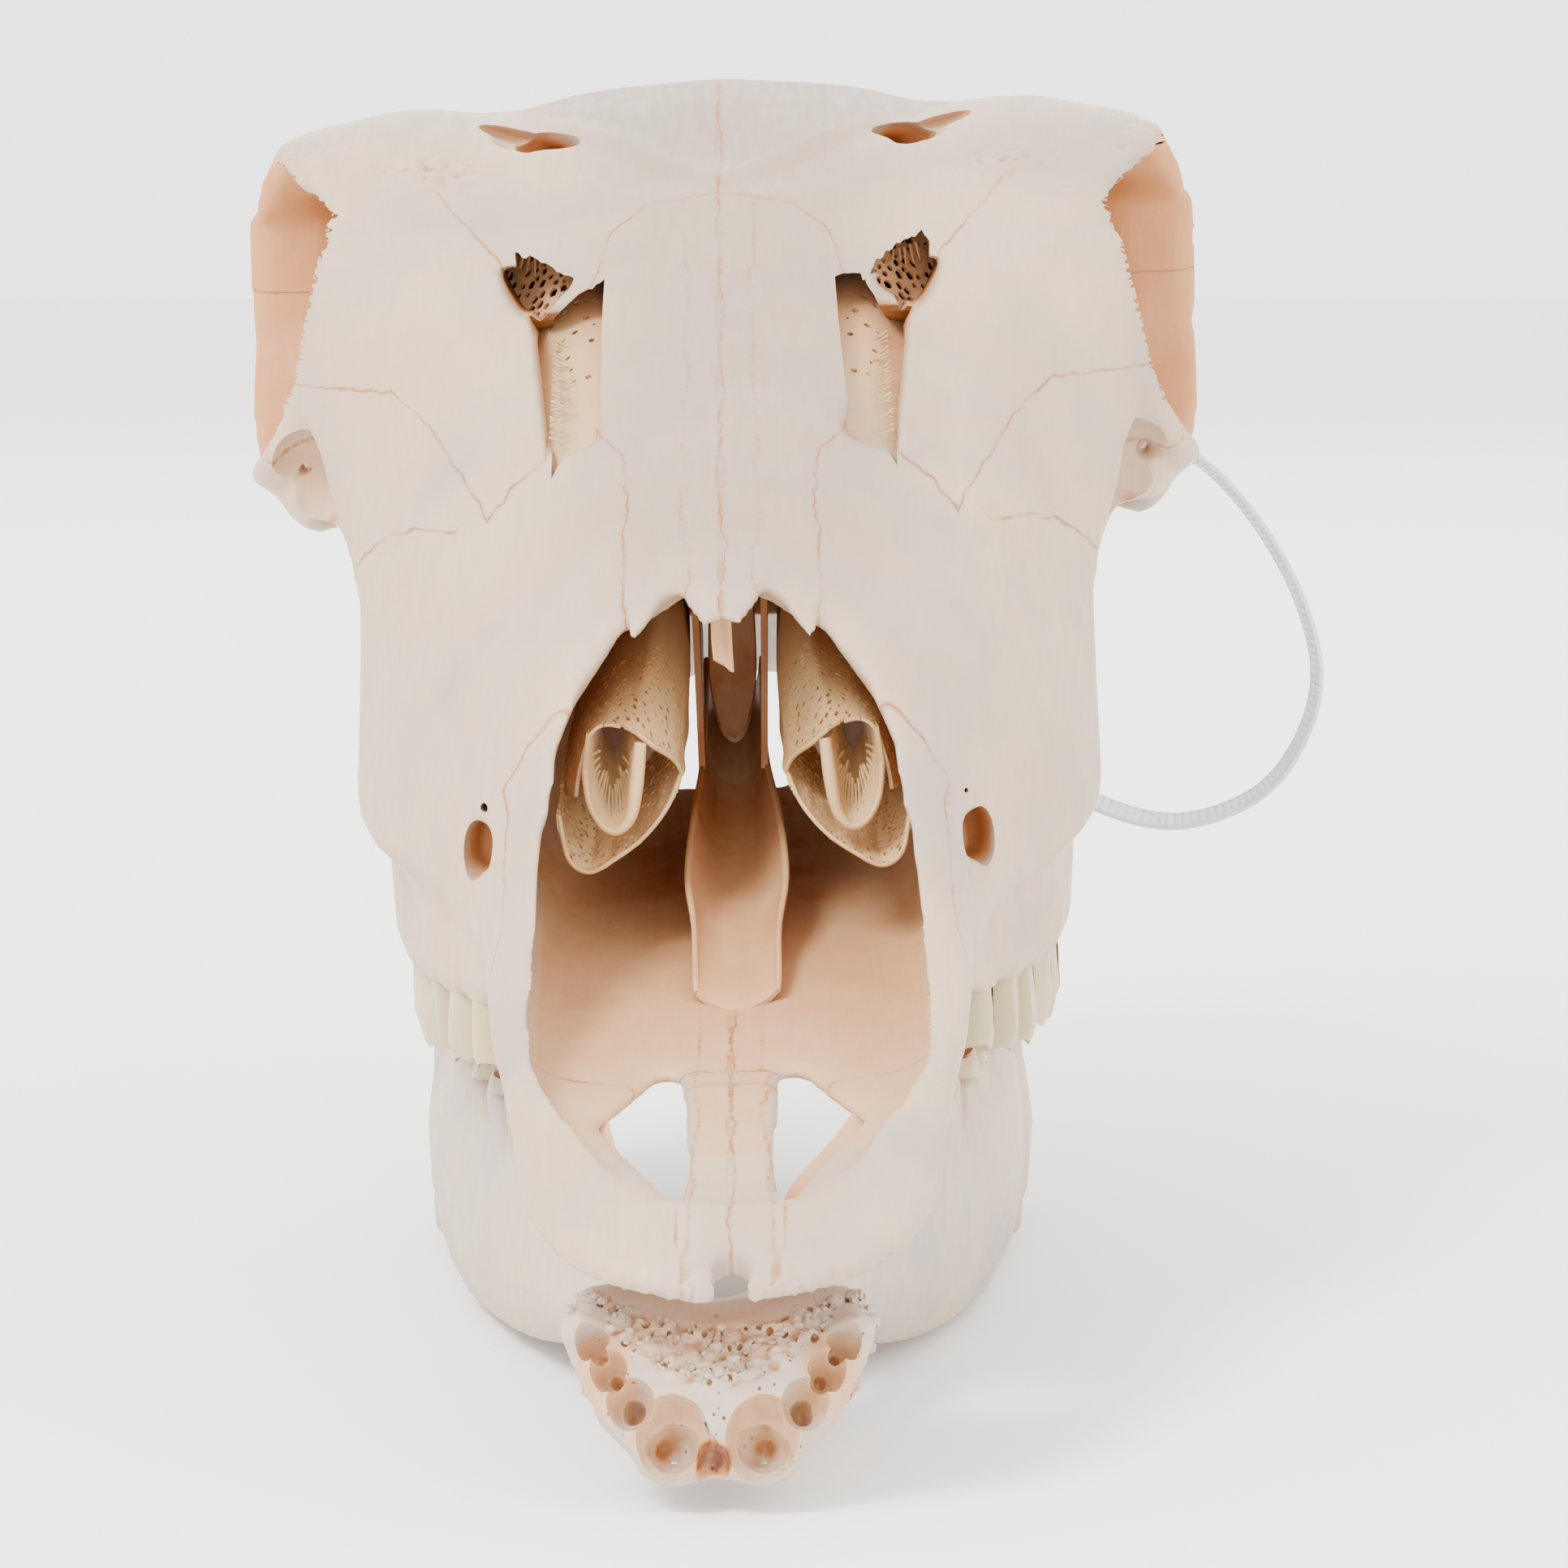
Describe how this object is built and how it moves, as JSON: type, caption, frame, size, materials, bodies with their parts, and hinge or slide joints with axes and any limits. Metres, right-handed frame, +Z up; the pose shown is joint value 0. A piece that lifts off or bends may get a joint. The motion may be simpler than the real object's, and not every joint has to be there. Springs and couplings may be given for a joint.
{
  "type": "waterbuck skull",
  "caption": "Hornless waterbuck skull resting on its lower jaw, with open nose, orbits and tooth rows, and a nylon cable tie looped round jaw and cheek arch.",
  "frame": {"origin": "middle of the underside of the whole object's box, on the surface that the lower jaw rests on", "axes": "+Z up, +Y from the tip of the snout back to the nape, +X towards the animal's left side, where the cable tie hangs"},
  "size_m": [0.1744, 0.3538, 0.182],
  "materials": {
    "bone": "satin",
    "jaw_bone": "satin",
    "inner_bone": "matte",
    "nylon": "satin"
  },
  "bodies": {
    "root": {"premaxilla_left": "bone", "premaxilla_right": "bone", "maxilla_left": "bone", "maxilla_right": "bone", "nasal_left": "bone", "nasal_right": "bone", "lacrimal_left": "bone", "lacrimal_right": "bone", "jugal_left": "bone", "jugal_right": "bone", "frontal_left": "bone", "frontal_right": "bone", "parietal": "bone", "occipital": "bone", "braincase": "bone", "vomer": "inner_bone", "turbinate_left": "inner_bone", "turbinate_right": "inner_bone", "mandible_left": "jaw_bone", "mandible_right": "jaw_bone", "cable_tie": "nylon"}
  },
  "joints": []
}
